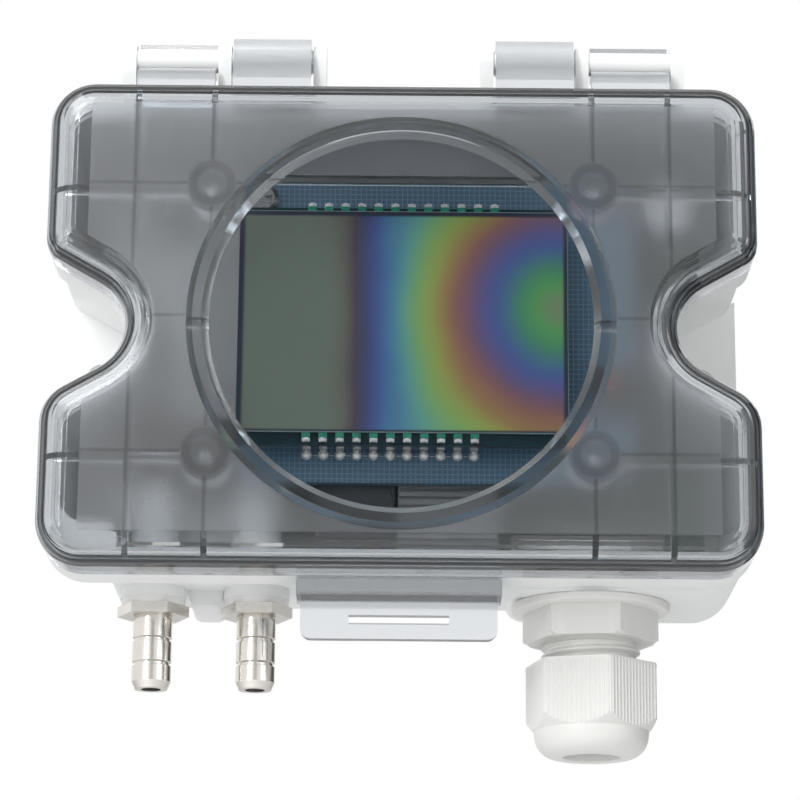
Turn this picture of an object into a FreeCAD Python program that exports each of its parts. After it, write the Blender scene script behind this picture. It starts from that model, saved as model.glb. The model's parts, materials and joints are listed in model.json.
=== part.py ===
import FreeCAD, Part

# Differential pressure transmitter for a wall: a moulded base housing with a hinged smoky cover over a round
# display window, two hose nozzles and a cable gland.
#
# Frame: X to the right, Z up, the wall is the plane Y = 0 and the front faces -Y. Depths are "forward"
# distances from the wall, so a point at forward 30 has Y = -30. Z = 0 runs through the window's centre and
# the two wall screws. Everything is in millimetres.

import math
import os

import Sketcher

SIZES = {
    # Case outline: an upright rectangle with a screw notch in each side.
    "case_width": 106.8,
    "case_top": 38.2,
    "case_bottom": 36.7,
    "corner_round": 6.9,
    "notch_mouth": 11.5,
    "notch_slope": 0.577,
    "notch_round": 7.65,
    "upper_lobe_round": 3.5,
    "lower_lobe_round": 6.5,
    # Base housing, from the wall forward.
    "case_forward": 30.0,
    "rim_depth": 6.0,
    "rim_step": 0.9,
    "housing_wall": 2.0,
    "back_wall": 2.5,
    "step_clearance": 7.25,
    "step_rise": 4.8,
    "step_round": 2.1,
    "floor_step": 1.2,
    "ear_depth": 7.0,
    "ear_set_in": 0.3,
    "screw_spacing": 95.0,
    "screw_hole": 4.5,
    "groove_from_edge": 1.0,
    "groove_width": 1.2,
    "groove_depth": 1.0,
    "gasket_slack": 0.05,
    "gasket_stand": 0.15,
    # Cover.
    "cover_gap": 0.3,
    "cover_depth": 9.7,
    "cover_wall": 2.2,
    "cover_round": 4.6,
    "ring_foot": 31.85,
    "ring_outer": 30.9,
    "ring_inner": 29.5,
    "window_radius": 28.5,
    "ring_height": 0.6,
    "window_recess": 0.6,
    "rib_width": 0.9,
    "rib_depth": 2.4,
    "rib_outer_x": 40.0,
    "stud_x": 28.5,
    "stud_z": 20.7,
    "stud_radius": 3.65,
    "stud_pilot": 1.0,
    "stud_depth": 4.2,
    "mask_height": 23.0,
    "mask_thickness": 0.4,
    # Hinges: two rods on the base, hooked by the cover from both sides.
    "hinge_height": 45.0,
    "hinge_forward": 29.0,
    "rod_radius": 1.8,
    "rod_play": 0.06,
    "ear_radius": 2.6,
    "ear_foot": 5.2,
    "ear_inner": 11.9,
    "ear_middle": 26.6,
    "ear_outer": 41.3,
    "ear_width": 2.0,
    "hook_side_gap": 0.35,
    "hook_radius": 3.5,
    "tongue_radius": 3.1,
    "tongue_slope": 1.2,
    # Latch tab.
    "latch_width": 30.4,
    "lip_width": 29.4,
    "latch_reach": 5.7,
    "latch_gap": 0.4,
    "latch_thickness": 2.3,
    "lip_thickness": 1.8,
    "lip_reach": 8.2,
    "lip_round": 1.6,
    "slot_width": 15.0,
    "slot_height": 1.2,
    "slot_from_tip": 3.0,
    # Boards, from the back wall forward.
    "board_thickness": 1.6,
    "post_height": 5.4,
    "post_radius": 3.0,
    "board_inset": 6.2,
    "standoff_length": 10.9,
    "standoff_across": 5.0,
    "thread_radius": 1.25,
    "thread_slack": 0.1,
    "board_margin": 2.9,
    "board_screw_inset": 9.4,
    "board_screw_rise": 12.5,
    "screw_head_radius": 2.4,
    "screw_head_height": 1.5,
    "screw_length": 6.0,
    "display_board_left": 0.3,
    "display_board_gap": 2.2,
    "display_board_above": 6.7,
    "display_board_below": 6.5,
    # Display module.
    "glass_width": 50.0,
    "glass_height": 34.8,
    "glass_x": 0.2,
    "glass_z": 3.3,
    "glass_thickness": 2.2,
    "backlight_thickness": 3.8,
    "backlight_inset": 0.6,
    "pin_pitch": 2.54,
    "pin_width": 1.2,
    "pin_thickness": 0.5,
    "pin_row_gap": 1.0,
    # Parts on the boards.
    "terminal_left": -0.3,
    "terminal_pitch": 3.81,
    "terminal_count": 4,
    "terminal_rise": 3.3,
    "terminal_depth": 7.8,
    "terminal_height": 10.5,
    "terminal_step": 3.0,
    "terminal_hole": 2.6,
    "terminal_screw": 1.3,
    "converter_gap": 0.4,
    "converter_width": 11.9,
    "converter_depth": 8.8,
    "converter_height": 8.0,
    "chip_side": 10.0,
    "chip_thickness": 1.4,
    "capacitor_radius": 4.0,
    "capacitor_height": 10.5,
    "capacitor_inset": 11.9,
    "jumper_pitch": 2.54,
    "jumper_count": 3,
    "header_count": 8,
    "header_base": 2.5,
    "header_pin": 0.64,
    "relief_half": 12.0,
    "relief_rise": 9.5,
    "switch_inset": 3.7,
    "switch_z": -6.0,
    "switch_side": 6.0,
    "switch_height": 3.4,
    "button_radius": 1.7,
    "button_play": 0.1,
    "button_rise": 1.9,
    "button_seat": 1.8,
    "button_travel": 0.3,
    # Pressure side.
    "nozzle_forward": 14.0,
    "nozzle_inset": 15.95,
    "nozzle_spacing": 15.75,
    "boss_drop": 0.5,
    "boss_radius": 5.0,
    "web_width": 5.2,
    "web_drop": 1.1,
    "web_round": 1.5,
    "web_forward": 13.3,
    "washer_thickness": 1.1,
    "washer_radius": 4.85,
    "nozzle_across": 9.5,
    "nozzle_hex_height": 1.6,
    "nozzle_turn": -2.5,
    "barb_radius": 3.0,
    "barb_length": 11.1,
    "barb_groove": 0.28,
    "barb_groove_width": 0.45,
    "barb_tip": 1.1,
    "nozzle_bore": 1.5,
    "stud_thread_radius": 2.5,
    "lock_nut_across": 8.0,
    "lock_nut_height": 2.4,
    "inner_barb_radius": 2.0,
    "inner_barb_length": 4.2,
    "hose_wall": 1.6,
    "hose_slack": 0.05,
    "sensor_margin": 3.6,
    "sensor_rise": 13.5,
    "sensor_length": 10.4,
    "sensor_height": 8.5,
    "sensor_port_length": 5.0,
    # Cable gland.
    "gland_inset": 24.1,
    "gland_forward": 12.5,
    "gland_pad_margin": 0.65,
    "gland_pad_drop": 0.6,
    "gland_pad_round": 3.0,
    "flange_radius": 12.15,
    "flange_thickness": 1.2,
    "gland_across": 18.0,
    "gland_hex_height": 4.7,
    "gland_turn": -8.0,
    "gland_thread": 7.55,
    "gland_hole_slack": 0.15,
    "gland_bore": 5.5,
    "thread_shown": 3.3,
    "thread_hidden": 6.0,
    "gland_nut_across": 19.0,
    "gland_nut_height": 3.2,
    "dome_corner": 10.35,
    "dome_length": 14.2,
    "dome_flank": 9.2,
    "dome_shoulder": 8.6,
    "dome_end": 5.4,
    "dome_turn": 13.5,
    "dome_play": 0.08,
    "dome_hole": 4.25,
    "seal_bore": 4.0,
    "seal_slack": 0.1,
}


class Size:
    """A length, with the expression that gives it from the sheet."""

    def __init__(self, value, text):
        self.value = value
        self.text = text

    @staticmethod
    def of(other):
        return other if isinstance(other, Size) else Size(float(other), f"({float(other)!r})")

    def __add__(self, other):
        other = Size.of(other)
        return Size(self.value + other.value, f"({self.text} + {other.text})")

    def __sub__(self, other):
        other = Size.of(other)
        return Size(self.value - other.value, f"({self.text} - {other.text})")

    def __mul__(self, other):
        other = Size.of(other)
        return Size(self.value * other.value, f"({self.text} * {other.text})")

    def __truediv__(self, other):
        other = Size.of(other)
        return Size(self.value / other.value, f"({self.text} / {other.text})")

    def __neg__(self):
        return Size(-self.value, f"(0 - {self.text})")

    def __radd__(self, other):
        return Size.of(other) + self

    def __rsub__(self, other):
        return Size.of(other) - self

    def __rmul__(self, other):
        return Size.of(other) * self

    def root(self):
        return Size(math.sqrt(self.value), f"sqrt({self.text})")


class Sheet:
    """The spreadsheet of driving sizes, read as attributes: d.case_width is a Size."""

    def __init__(self, doc):
        self.cells = doc.addObject("Spreadsheet::Sheet", "Sizes")
        for row, (name, value) in enumerate(SIZES.items(), start=1):
            self.cells.set(f"A{row}", name)
            self.cells.set(f"B{row}", str(value))
            self.cells.setAlias(f"B{row}", name)
            setattr(self, name, Size(float(value), f"Sizes.{name}"))
        doc.recompute()


doc = FreeCAD.newDocument("pressure_transmitter")
d = Sheet(doc)
bodies = {}
Vector = FreeCAD.Vector
Constraint = Sketcher.Constraint


# ---------------------------------------------------------------- sketches and features

def make_body(name, at=None):
    """A body named after its node, placed at the point `at`. It may hold several separate like pieces."""
    body = doc.addObject("PartDesign::Body", name)
    body.Label = name
    body.AllowCompound = True
    if at:
        for axis, place in zip("xyz", at):
            place = Size.of(place)
            setattr(body.Placement.Base, axis, place.value)
            body.setExpression(f"Placement.Base.{axis}", place.text)
    bodies[name] = body
    return body


def make_sketch(body, plane, offset):
    """An empty sketch on one of the body's origin planes, moved along the plane's normal."""
    sketch = body.newObject("Sketcher::SketchObject", "sketch")
    origin = [feature for feature in body.Origin.OriginFeatures if feature.Role == f"{plane}_Plane"]
    sketch.AttachmentSupport = [(origin[0], "")]
    sketch.MapMode = "FlatFace"
    offset = Size.of(offset)
    sketch.AttachmentOffset = FreeCAD.Placement(Vector(0, 0, offset.value), FreeCAD.Rotation())
    sketch.setExpression("AttachmentOffset.Base.z", offset.text)
    return sketch


def constrain(sketch, constraints, bindings):
    """Adds constraints and binds those in `bindings` (index to Size) to the sheet."""
    numbers = sketch.addConstraint(constraints)
    for index, size in bindings:
        sketch.setExpression(f"Constraints[{numbers[index]}]", size.text)


def draw_loop(sketch, corners):
    """A closed loop through corners (x, y) or (x, y, radius), rounded by tangent arcs."""
    places = [(Size.of(corner[0]), Size.of(corner[1])) for corner in corners]
    radii = [Size.of(corner[2]) if len(corner) > 2 else None for corner in corners]
    points = [Vector(x.value, y.value, 0) for x, y in places]
    count = len(points)
    starts, ends, arcs = [], [], []
    for i, point in enumerate(points):
        back = (points[i - 1] - point).normalize()
        ahead = (points[(i + 1) % count] - point).normalize()
        if radii[i] is None:
            starts.append(point)
            ends.append(point)
            arcs.append(None)
            continue
        half = back.getAngle(ahead) / 2
        reach = radii[i].value / math.tan(half)
        centre = point + (back + ahead).normalize() * (radii[i].value / math.sin(half))
        middle = centre + (point - centre).normalize() * radii[i].value
        starts.append(point + back * reach)
        ends.append(point + ahead * reach)
        turns_left = back.cross(ahead).z < 0
        arcs.append((Part.Arc(starts[i], middle, ends[i]), turns_left))
    lines = [sketch.addGeometry(Part.LineSegment(ends[i], starts[(i + 1) % count])) for i in range(count)]
    constraints, bindings = [], []
    for i, point in enumerate(points):
        before, after = lines[i - 1], lines[i]
        if arcs[i] is None:
            held, held_end = after, 1
            constraints.append(Constraint("Coincident", before, 2, after, 1))
        else:
            curve, turns_left = arcs[i]
            arc = sketch.addGeometry(curve)
            held, held_end = sketch.addGeometry(Part.Point(point), True), 1
            first, last = (1, 2) if turns_left else (2, 1)
            constraints += [
                Constraint("Tangent", before, 2, arc, first),
                Constraint("Tangent", arc, last, after, 1),
                Constraint("PointOnObject", held, 1, before),
                Constraint("PointOnObject", held, 1, after),
                Constraint("Radius", arc, radii[i].value),
            ]
            bindings.append((len(constraints) - 1, radii[i]))
        constraints += [
            Constraint("DistanceX", -1, 1, held, held_end, point.x),
            Constraint("DistanceY", -1, 1, held, held_end, point.y),
        ]
        bindings += [(len(constraints) - 2, places[i][0]), (len(constraints) - 1, places[i][1])]
    constrain(sketch, constraints, bindings)


def draw_circle(sketch, x, y, radius):
    """A circle about (x, y)."""
    x, y, radius = Size.of(x), Size.of(y), Size.of(radius)
    circle = sketch.addGeometry(Part.Circle(Vector(x.value, y.value, 0), Vector(0, 0, 1), radius.value))
    constrain(sketch, [
        Constraint("DistanceX", -1, 1, circle, 3, x.value),
        Constraint("DistanceY", -1, 1, circle, 3, y.value),
        Constraint("Radius", circle, radius.value),
    ], [(0, x), (1, y), (2, radius)])


def extrude(kind, body, plane, start, end, loops, circles):
    start, end = Size.of(start), Size.of(end)
    sketch = make_sketch(body, plane, start)
    for corners in loops:
        draw_loop(sketch, corners)
    for circle in circles:
        draw_circle(sketch, *circle)
    feature = body.newObject(f"PartDesign::{kind}", kind.lower())
    feature.Profile = sketch
    feature.Refine = False
    feature.Length = end.value - start.value
    feature.setExpression("Length", (end - start).text)
    return feature


def pad(body, plane, start, end, loops=(), circles=()):
    """Adds the profile from `start` to `end`: forward on XZ, up on XY, right on YZ."""
    return extrude("Pad", body, plane, start, end, loops, circles)


def cut(body, plane, start, end, loops=(), circles=()):
    """Removes the profile from `start` to `end` along the plane's normal."""
    feature = extrude("Pocket", body, plane, start, end, loops, circles)
    feature.Reversed = True
    return feature


def turn(kind, body, corners, plane="XZ"):
    """Turns a profile of (radius, height) corners about the plane's upright axis: Z on XZ, Y on XY."""
    sketch = make_sketch(body, plane, 0)
    draw_loop(sketch, corners)
    feature = body.newObject(f"PartDesign::{kind}", kind.lower())
    feature.Profile = sketch
    feature.Refine = False
    feature.ReferenceAxis = (sketch, ["V_Axis"])
    feature.Angle = 360
    return feature


def front_edges(body, front):
    """The body's tip and the names of its edges that lie in the plane at `front`."""
    doc.recompute(body.Group)
    place = -front.value
    names = [
        f"Edge{number}" for number, edge in enumerate(body.Tip.Shape.Edges, start=1)
        if all(abs(vertex.Point.y - place) < 1e-4 for vertex in edge.Vertexes)
    ]
    return body.Tip, names


def round_front(body, radius, front):
    """Rounds the edges of the face at `front`."""
    edges = front_edges(body, front)
    fillet = body.newObject("PartDesign::Fillet", "fillet")
    fillet.Base = edges
    fillet.Radius = radius.value
    fillet.setExpression("Radius", radius.text)


def bevel_front(body, size, front):
    """Bevels the edges of the face at `front`."""
    edges = front_edges(body, front)
    chamfer = body.newObject("PartDesign::Chamfer", "chamfer")
    chamfer.Base = edges
    chamfer.Size = size.value
    chamfer.setExpression("Size", size.text)


def both_sides(near, far):
    """The left and right spans (low, high) that lie between `near` and `far` of the middle."""
    return ((-far, -near), (near, far))


def box_loop(left, right, low, high, radius=None):
    """The corners of an upright rectangle, rounded if a radius is given."""
    corners = [(left, low), (right, low), (right, high), (left, high)]
    return [(x, y, radius) for x, y in corners] if radius is not None else corners


def hexagon(across, turned=0.0, x=0.0, y=0.0):
    """The corners of a hexagon by its width across flats; unturned, it has corners left and right."""
    radius = Size.of(across) / math.sqrt(3)
    angles = [math.radians(60 * corner + turned) for corner in range(6)]
    return [(x + radius * math.cos(angle), y + radius * math.sin(angle)) for angle in angles]


# ---------------------------------------------------------------- shared outline

HALF_WIDTH = d.case_width / 2
NOTCH_SECANT = (1 + d.notch_slope * d.notch_slope).root()
RIM_BACK = d.case_forward - d.rim_depth
WALL_INSET = d.rim_step + d.housing_wall
FLOOR_BOTTOM = -(d.case_bottom - d.floor_step)
FLOOR_TOP = FLOOR_BOTTOM + d.housing_wall
COVER_BACK = d.case_forward + d.cover_gap
COVER_FRONT = COVER_BACK + d.cover_depth
COVER_INSIDE = COVER_FRONT - d.cover_wall
NOZZLE_LEFT = d.nozzle_inset - HALF_WIDTH
NOZZLE_RIGHT = NOZZLE_LEFT + d.nozzle_spacing
NOZZLE_PLACES = (NOZZLE_LEFT, NOZZLE_RIGHT)
BOSS_BOTTOM = d.case_bottom + d.boss_drop
NOZZLE_FACE = BOSS_BOTTOM + d.washer_thickness
GLAND_X = HALF_WIDTH - d.gland_inset


def notch_point(inset):
    """The Z of a notch's mouth and the X of its apex on the outline moved in by `inset`."""
    mouth = d.notch_mouth + inset * (NOTCH_SECANT - d.notch_slope)
    apex = HALF_WIDTH - (d.notch_mouth + inset * NOTCH_SECANT) / d.notch_slope
    return mouth, apex


def case_outline(inset=0, bottom=None, stepped=False):
    """The case's outline moved in by `inset`, with its own bottom edge or the lower left step if asked."""
    inset = Size.of(inset)
    half = HALF_WIDTH - inset
    top = d.case_top - inset
    bottom = -(d.case_bottom - inset) if bottom is None else bottom
    corner = d.corner_round - inset
    upper = d.upper_lobe_round - inset
    lower = d.lower_lobe_round - inset
    if upper.value < 0.3:
        upper = Size.of(0.3)
    if lower.value < 0.3:
        lower = Size.of(0.3)
    notch = d.notch_round + inset
    mouth, apex = notch_point(inset)
    if stepped:
        across = NOZZLE_LEFT - d.step_clearance + inset
        height = -(d.case_bottom - d.step_rise - inset)
        low = d.step_round - inset
        if low.value < 0.3:
            low = Size.of(0.3)
        start = [(-half, height, corner), (across, height, d.step_round), (across, bottom, low)]
    else:
        start = [(-half, bottom, corner)]
    return start + [
        (half, bottom, corner),
        (half, -mouth, lower),
        (apex, 0, notch),
        (half, mouth, upper),
        (half, top, corner),
        (-half, top, corner),
        (-half, mouth, upper),
        (-apex, 0, notch),
        (-half, -mouth, lower),
    ]


# ---------------------------------------------------------------- base housing

def base_housing():
    body = make_body("base_housing")
    pad(body, "XZ", 0, RIM_BACK, [case_outline(d.rim_step, FLOOR_BOTTOM, stepped=True)])
    pad(body, "XZ", RIM_BACK, d.case_forward, [case_outline()])
    add_ears(body)
    add_gland_pad(body)
    add_nozzle_bosses(body)
    cut(body, "XZ", d.back_wall, d.case_forward, [case_outline(WALL_INSET, FLOOR_TOP, stepped=True)])
    groove_out = case_outline(d.groove_from_edge)
    groove_in = case_outline(d.groove_from_edge + d.groove_width)
    cut(body, "XZ", d.case_forward - d.groove_depth, d.case_forward, [groove_out, groove_in])
    cut_bores(body)
    add_posts(body)
    add_hinge_rods(body)
    return body


def add_ears(body):
    """Closes the back of each screw notch with a plate that has a hole for a wall screw."""
    seat = d.rim_step + d.housing_wall / 2
    mouth, apex = notch_point(seat)
    edge = HALF_WIDTH - d.ear_set_in
    flare = mouth + (edge - HALF_WIDTH + seat) * d.notch_slope
    plates = [
        [(edge * side, -flare), (apex * side, 0, d.notch_round + seat), (edge * side, flare)]
        for side in (-1, 1)
    ]
    pad(body, "XZ", 0, d.ear_depth, plates)
    hole = d.screw_spacing / 2, d.screw_hole / 2
    cut(body, "XZ", 0, d.ear_depth, circles=[(hole[0] * side, 0, hole[1]) for side in (-1, 1)])


def add_gland_pad(body):
    """A flat pad under the floor that the gland's flange seats on."""
    bottom = -(d.case_bottom + d.gland_pad_drop)
    left = GLAND_X - d.flange_radius - d.gland_pad_margin
    right = HALF_WIDTH - d.rim_step
    top = bottom + d.corner_round + 2
    pad(body, "XZ", 0, RIM_BACK, [[
        (left, bottom, d.gland_pad_round),
        (right, bottom, d.corner_round),
        (right, top),
        (left, top),
    ]])


def add_nozzle_bosses(body):
    """Two round bosses under the floor, with a web between them towards the wall."""
    middle = NOZZLE_LEFT + d.nozzle_spacing / 2
    web_bottom = -(d.case_bottom + d.web_drop)
    pad(body, "XZ", 0, d.web_forward, [[
        (middle - d.web_width / 2, web_bottom, d.web_round),
        (middle + d.web_width / 2, web_bottom, d.web_round),
        (middle + d.web_width / 2, FLOOR_TOP),
        (middle - d.web_width / 2, FLOOR_TOP),
    ]])
    bosses = [(x, -d.nozzle_forward, d.boss_radius) for x in NOZZLE_PLACES]
    pad(body, "XY", -BOSS_BOTTOM, FLOOR_TOP, circles=bosses)


def cut_bores(body):
    """The holes through the floor for the nozzles' studs and the gland."""
    stud = d.stud_thread_radius + d.thread_slack
    nozzles = [(x, -d.nozzle_forward, stud) for x in NOZZLE_PLACES]
    gland = (GLAND_X, -d.gland_forward, d.gland_thread + d.gland_hole_slack)
    cut(body, "XY", -NOZZLE_FACE, FLOOR_TOP, circles=[*nozzles, gland])


def display_edges():
    """The left, right, lower and upper edges of the display's glass."""
    half_width, half_height = d.glass_width / 2, d.glass_height / 2
    return d.glass_x - half_width, d.glass_x + half_width, d.glass_z - half_height, d.glass_z + half_height


def display_board_edges():
    """The display board's edges: round the glass, and on the right up to the notch's inner wall."""
    left, _, low, high = display_edges()
    reach = (d.notch_round + WALL_INSET) * (NOTCH_SECANT / d.notch_slope - 1)
    right = notch_point(WALL_INSET)[1] + reach - d.display_board_gap
    return left + d.display_board_left, right, low - d.display_board_below, high + d.display_board_above


def standoff_places():
    """The three places where a standoff carries the display board."""
    left, right, low, high = display_board_edges()
    near, far = left + d.board_margin, right - d.board_margin
    return [(far, low + d.board_margin), (far, high - d.board_margin), (near, high - d.board_margin)]


def board_screw_places():
    """The two places where a screw holds the main board's left side."""
    x = d.board_screw_inset - HALF_WIDTH
    return [(x, FLOOR_TOP + d.board_screw_rise), (x, standoff_places()[2][1])]


def add_posts(body):
    """Posts on the back wall that carry the main board, with blind holes for its fixings."""
    top = d.back_wall + d.post_height
    places = standoff_places() + board_screw_places()
    pad(body, "XZ", d.back_wall, top, circles=[(x, z, d.post_radius) for x, z in places])
    cut(body, "XZ", d.back_wall, top, circles=[(x, z, d.thread_radius) for x, z in places])


def add_hinge_rods(body):
    """Three ears a side with a rod through them, for the cover's hooks."""
    z, forward, r = d.hinge_height, d.hinge_forward, d.ear_radius
    foot = d.case_top - d.rim_step
    top_round = r * 0.94
    ear = [
        (-(forward + r), z + r, top_round),
        (-(d.case_forward - 0.1), d.case_top + 1),
        (-(d.case_forward - 0.1), foot),
        (-(forward - d.ear_foot), foot),
        (-(forward - d.ear_foot + 1), d.case_top + 1),
        (-(forward - r), z + r, top_round),
    ]
    for near in (d.ear_inner, d.ear_middle, d.ear_outer):
        for span in both_sides(near, near + d.ear_width):
            pad(body, "YZ", *span, [ear])
    for span in both_sides(d.ear_inner, d.ear_outer + d.ear_width):
        pad(body, "YZ", *span, circles=[(-forward, z, d.rod_radius)])


def cover_gasket():
    body = make_body("cover_gasket")
    outside = d.groove_from_edge + d.gasket_slack
    inside = d.groove_from_edge + d.groove_width - d.gasket_slack
    start = d.case_forward - d.groove_depth
    pad(body, "XZ", start, d.case_forward + d.gasket_stand, [case_outline(outside), case_outline(inside)])
    return body


# ---------------------------------------------------------------- cover

def rounded_sections(inset, radius, front):
    """Insets and places of the case's outline that round its edge from the side wall to the face at `front`."""
    steps = 6
    turns = [math.radians(90 * step / steps) for step in range(steps + 1)]
    return [(inset + radius * (1 - math.cos(turn)), front - radius * (1 - math.sin(turn))) for turn in turns]


def loft(kind, body, sections):
    """Joins the case's outline at each (inset, place) to the next."""
    sketches = []
    for inset, place in sections:
        sketch = make_sketch(body, "XZ", place)
        draw_loop(sketch, case_outline(inset))
        sketches.append(sketch)
    feature = body.newObject(f"PartDesign::{kind}", kind.lower())
    feature.Profile = sketches[0]
    feature.Sections = sketches[1:]
    feature.Ruled = True
    feature.Refine = False
    return feature


def cover():
    """A moulded shell of even thickness with rounded edges, its ring, ribs, studs, hooks and latch tab."""
    body = make_body("cover")
    inner_round = d.cover_round - d.cover_wall
    pad(body, "XZ", COVER_BACK, COVER_FRONT - d.cover_round, [case_outline()])
    loft("AdditiveLoft", body, rounded_sections(Size.of(0), d.cover_round, COVER_FRONT))
    cut(body, "XZ", COVER_BACK, COVER_INSIDE - inner_round, [case_outline(d.cover_wall)])
    loft("SubtractiveLoft", body, rounded_sections(d.cover_wall, inner_round, COVER_INSIDE))
    add_ring(body)
    add_ribs(body)
    add_hooks(body)
    add_latch(body)
    return body


def add_ring(body):
    """The raised ring round the window: a slope up to its flat top, and one down into the window's recess."""
    top = COVER_FRONT + d.ring_height
    floor = COVER_FRONT - d.window_recess
    inside = d.window_radius - 0.5
    base = COVER_FRONT - 0.5
    turn("Revolution", body, [
        (inside, -base), (d.ring_foot, -base), (d.ring_foot, -COVER_FRONT), (d.ring_outer, -top), (inside, -top),
    ], "XY")
    cut(body, "XZ", floor, top, circles=[(0, 0, d.window_radius)])
    run_out = d.ring_inner + (d.ring_inner - d.window_radius) / (d.ring_height + d.window_recess) * 0.3
    turn("Groove", body, [
        (inside, -floor), (d.window_radius, -floor), (run_out, -(top + 0.3)), (inside, -(top + 0.3)),
    ], "XY")


def add_ribs(body):
    """Stiffening ribs behind the face, and four hollow studs on them."""
    start = COVER_INSIDE - d.rib_depth
    half = d.rib_width / 2
    side_wall = HALF_WIDTH - d.cover_wall / 2
    top_wall = d.case_top - d.cover_wall / 2
    bottom_wall = -(d.case_bottom - d.cover_wall / 2)
    apex = notch_point(d.cover_wall / 2)[1]
    upright, level = [], []
    for x, reach in ((d.stud_x, d.stud_z), (d.rib_outer_x, d.notch_mouth)):
        for span in both_sides(x - half, x + half):
            upright += [box_loop(*span, reach, top_wall), box_loop(*span, bottom_wall, -reach)]
    for z in (-d.stud_z, d.stud_z):
        level += [box_loop(*span, z - half, z + half) for span in both_sides(d.stud_x, side_wall)]
    level += [box_loop(*span, -half, half) for span in both_sides(d.ring_inner, apex)]
    pad(body, "XZ", start, COVER_INSIDE, upright)
    pad(body, "XZ", start, COVER_INSIDE, level)
    places = [(x, z) for x in (-d.stud_x, d.stud_x) for z in (-d.stud_z, d.stud_z)]
    back = COVER_INSIDE - d.stud_depth
    pad(body, "XZ", back, COVER_INSIDE, circles=[(x, z, d.stud_radius) for x, z in places])
    cut(body, "XZ", back, COVER_INSIDE, circles=[(x, z, d.stud_pilot) for x, z in places])


def add_hooks(body):
    """On each rod, a wide hook over its front and a tongue that passes under it and up behind."""
    z, forward, gap = d.hinge_height, d.hinge_forward, d.hook_side_gap
    hole = d.rod_radius + d.rod_play
    root = d.case_top - d.cover_wall / 2
    arm_front = -(forward + d.hook_radius)
    low = z - d.hook_radius - 0.5
    behind = d.hook_radius - forward + 0.5
    hook_mouth = [(-forward, z), (-COVER_BACK, low), (behind, low), (behind, z - hole / 2)]
    high = z + d.tongue_radius + 0.5
    ahead = -(forward + d.hook_radius + 0.5)
    tongue_mouth = [(-forward, z), (d.tongue_radius * 0.3 - forward, high), (ahead, high),
                    (ahead, z - hole - d.tongue_slope), (-COVER_BACK, z - hole)]
    inner = (d.ear_inner + d.ear_width + gap, d.ear_middle - gap)
    outer = (d.ear_middle + d.ear_width + gap, d.ear_outer - gap)
    for bay, radius, arm_top, mouth in (
        (inner, d.hook_radius, z, hook_mouth),
        (outer, d.tongue_radius, z - hole, tongue_mouth),
    ):
        arm = box_loop(arm_front, -COVER_BACK, root, arm_top)
        for span in both_sides(*bay):
            pad(body, "YZ", *span, circles=[(-forward, z, radius)])
            pad(body, "YZ", *span, [arm])
            cut(body, "YZ", *span, circles=[(-forward, z, hole)])
            cut(body, "YZ", *span, [mouth])


def add_latch(body):
    """The latch tab: a shelf under the base's rim and a lip to pull, with a slot for a screwdriver."""
    half = d.latch_width / 2
    shelf_top = -(d.case_bottom + d.latch_gap)
    shelf_bottom = shelf_top - d.latch_thickness
    lip_front = d.case_forward - d.latch_reach
    lip_back = lip_front - d.lip_thickness
    root = -(d.case_bottom - d.cover_wall / 2)
    pad(body, "YZ", -half, half, [[
        (-(COVER_BACK + 0.4), root),
        (-(COVER_BACK + 0.4), -d.case_bottom),
        (-d.case_forward, shelf_bottom + 0.4),
        (-lip_front, shelf_bottom),
        (-lip_back, shelf_bottom),
        (-lip_back, shelf_top),
        (-COVER_BACK, shelf_top),
        (-COVER_BACK, root),
    ]])
    lip_half = d.lip_width / 2
    tip = -(d.case_bottom + d.lip_reach)
    pad(body, "XZ", lip_back, lip_front, [[
        (-lip_half, tip, d.lip_round),
        (lip_half, tip, d.lip_round),
        (lip_half, shelf_bottom + 0.5),
        (-lip_half, shelf_bottom + 0.5),
    ]])
    low = tip + d.slot_from_tip - d.slot_height / 2
    slot = box_loop(-d.slot_width / 2, d.slot_width / 2, low, low + d.slot_height)
    cut(body, "XZ", lip_back, lip_front, [slot])


def window_mask():
    """The dark segment behind the top of the window."""
    body = make_body("window_mask")
    start = COVER_INSIDE - d.mask_thickness
    radius = d.window_radius + 0.6
    pad(body, "XZ", start, COVER_INSIDE, circles=[(0, 0, radius)])
    cut(body, "XZ", start, COVER_INSIDE, [box_loop(-radius - 1, radius + 1, -radius - 1, d.mask_height)])
    return body


# ---------------------------------------------------------------- boards and what they carry

MAIN_BACK = d.back_wall + d.post_height
MAIN_FRONT = MAIN_BACK + d.board_thickness
DISPLAY_BACK = MAIN_FRONT + d.standoff_length
DISPLAY_FRONT = DISPLAY_BACK + d.board_thickness
FIX_HOLE = d.thread_radius + d.thread_slack


def main_board():
    """The lower board: it follows the housing, with a relief over the gland for the cable."""
    body = make_body("main_board")
    pad(body, "XZ", MAIN_BACK, MAIN_FRONT, [case_outline(d.board_inset, stepped=True)])
    top = FLOOR_TOP + d.relief_rise
    relief = box_loop(GLAND_X - d.relief_half, GLAND_X + d.relief_half, -d.case_bottom, top)
    holes = [(x, z, FIX_HOLE) for x, z in standoff_places() + board_screw_places()]
    cut(body, "XZ", MAIN_BACK, MAIN_FRONT, [relief], holes)
    return body


def display_board():
    body = make_body("display_board")
    edges = box_loop(*display_board_edges(), Size.of(1.0))
    holes = [(x, z, FIX_HOLE) for x, z in standoff_places()]
    pad(body, "XZ", DISPLAY_BACK, DISPLAY_FRONT, [edges], holes)
    return body


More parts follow.
